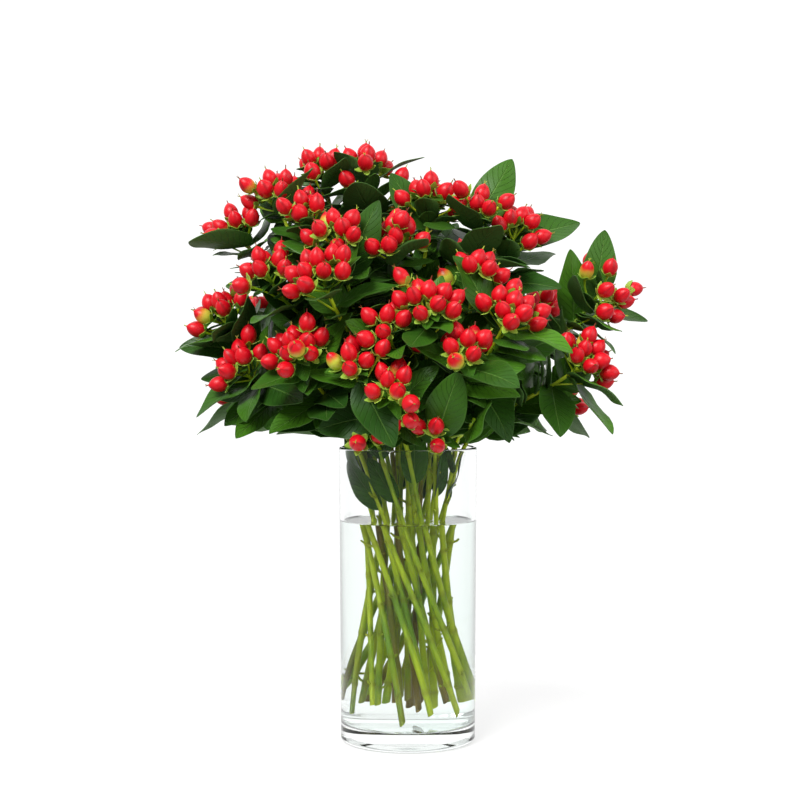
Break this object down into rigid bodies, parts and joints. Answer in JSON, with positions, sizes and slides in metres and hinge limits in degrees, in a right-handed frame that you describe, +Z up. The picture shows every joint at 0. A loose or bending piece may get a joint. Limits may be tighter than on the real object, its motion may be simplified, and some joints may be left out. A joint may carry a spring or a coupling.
{
  "type": "vase of hypericum berry stems",
  "caption": "Leafy hypericum stems with clustered red berries, standing crossed in a clear straight cylinder vase part filled with water.",
  "frame": {"origin": "centre of the vase's flat underside", "axes": "+Z up along the vase's axis, -Y towards the front of the bunch, as in the picture"},
  "size_m": [0.3416, 0.2888, 0.4356],
  "materials": {
    "glass": "clear polished soda-lime glass",
    "water": "still clear water",
    "foliage": "satin living leaf and green stem",
    "stem_bark": "smooth yellow-green young stem",
    "berry": "glossy ripe berry skin",
    "calyx": "satin yellow-green sepal"
  },
  "bodies": {
    "root": {"vase": "glass", "water": "water", "stem_01": "foliage", "stem_02": "foliage", "stem_03": "foliage", "stem_04": "foliage", "stem_05": "foliage", "stem_06": "foliage", "stem_07": "foliage", "stem_08": "foliage", "stem_09": "foliage", "stem_10": "foliage", "stem_11": "foliage", "stem_12": "foliage", "stem_13": "foliage", "stem_14": "foliage", "stem_15": "foliage", "stem_16": "foliage", "stem_17": "foliage", "stem_18": "foliage", "stem_19": "foliage", "stem_20": "foliage", "stem_21": "foliage", "stem_22": "foliage", "stem_23": "foliage", "stem_24": "foliage", "stem_25": "foliage", "stem_26": "foliage", "stem_27": "foliage"}
  },
  "joints": []
}
